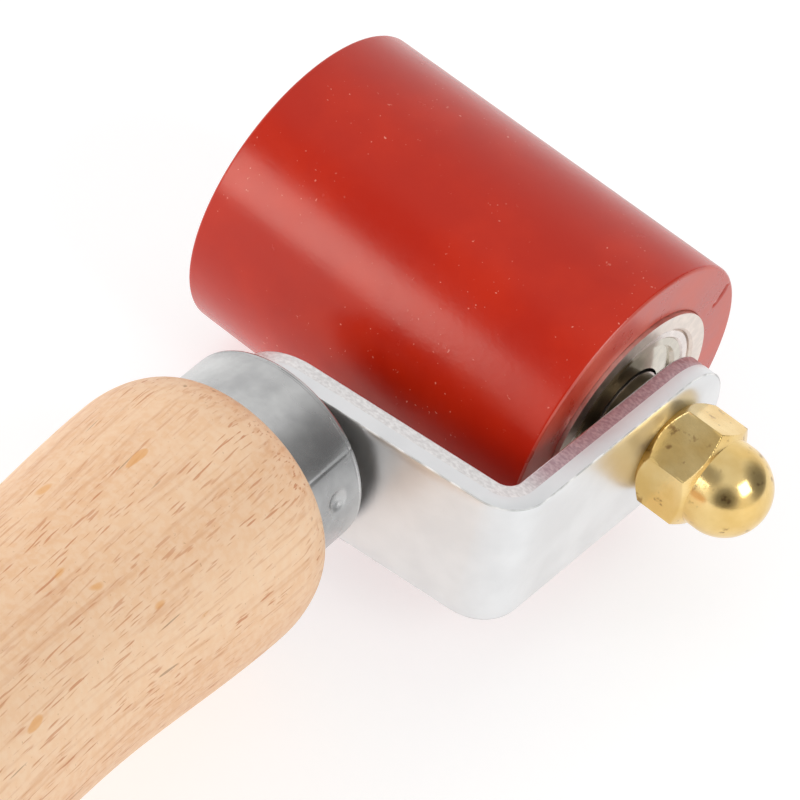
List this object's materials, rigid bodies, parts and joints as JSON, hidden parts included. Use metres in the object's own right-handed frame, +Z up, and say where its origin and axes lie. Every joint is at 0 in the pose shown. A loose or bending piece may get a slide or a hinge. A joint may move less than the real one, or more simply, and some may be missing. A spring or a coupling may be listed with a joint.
{
  "type": "seam roller",
  "caption": "Hand seam roller: a silicone-covered roller on ball bearings, carried from one side by a bent metal strip on a turned wooden handle.",
  "frame": {"origin": "on the surface that the tool lies on, under the middle of its bounding box", "axes": "+X along the roller's axis towards the cap nut, +Y from the handle towards the roller, +Z up"},
  "size_m": [0.0615, 0.1688, 0.0327],
  "materials": {
    "beech": "smooth sanded beech, matt",
    "ferrule_steel": "satin sheet steel",
    "plain_steel": "plain steel",
    "bright_zinc": "bright zinc plating",
    "brass": "polished brass",
    "spacer_steel": "turned steel, oiled",
    "silicone": "satin red silicone",
    "core_steel": "turned steel end",
    "bearing_steel": "ground bearing steel",
    "shield_steel": "pressed bright shield"
  },
  "bodies": {
    "tool": {"handle": "beech", "ferrule": "ferrule_steel", "tang": "plain_steel", "bracket": "bright_zinc", "axle_bolt": "bright_zinc", "cap_nut": "brass", "arm_spacer": "spacer_steel", "head_shim": "spacer_steel", "bearing_spacer": "spacer_steel", "bearing_inner_ring_arm_side": "bearing_steel", "bearing_inner_ring_free_side": "bearing_steel"},
    "roller": {"silicone_sleeve": "silicone", "core_tube": "core_steel", "bearing_outer_ring_arm_side": "bearing_steel", "bearing_shield_outer_arm_side": "shield_steel", "bearing_shield_inner_arm_side": "shield_steel", "bearing_outer_ring_free_side": "bearing_steel", "bearing_shield_outer_free_side": "shield_steel", "bearing_shield_inner_free_side": "shield_steel"},
    "cage_arm_side": {"bearing_cage_arm_side": "plain_steel", "bearing_balls_arm_side": "bearing_steel"},
    "cage_free_side": {"bearing_cage_free_side": "plain_steel", "bearing_balls_free_side": "bearing_steel"}
  },
  "joints": [
    {"name": "roller_spin", "type": "hinge", "parent": "tool", "child": "roller", "pos_m": [-0.00605, 0.06816, 0.01625], "axis": [1, 0, 0], "continuous": true},
    {"name": "cage_spin_arm_side", "type": "hinge", "parent": "tool", "child": "cage_arm_side", "pos_m": [-0.00605, 0.06816, 0.01625], "axis": [1, 0, 0], "continuous": true},
    {"name": "cage_spin_free_side", "type": "hinge", "parent": "tool", "child": "cage_free_side", "pos_m": [-0.00605, 0.06816, 0.01625], "axis": [1, 0, 0], "continuous": true}
  ],
  "couplings": [
    {"joint": "cage_spin_arm_side", "follows": "roller_spin", "ratio": 0.64},
    {"joint": "cage_spin_free_side", "follows": "roller_spin", "ratio": 0.64}
  ]
}
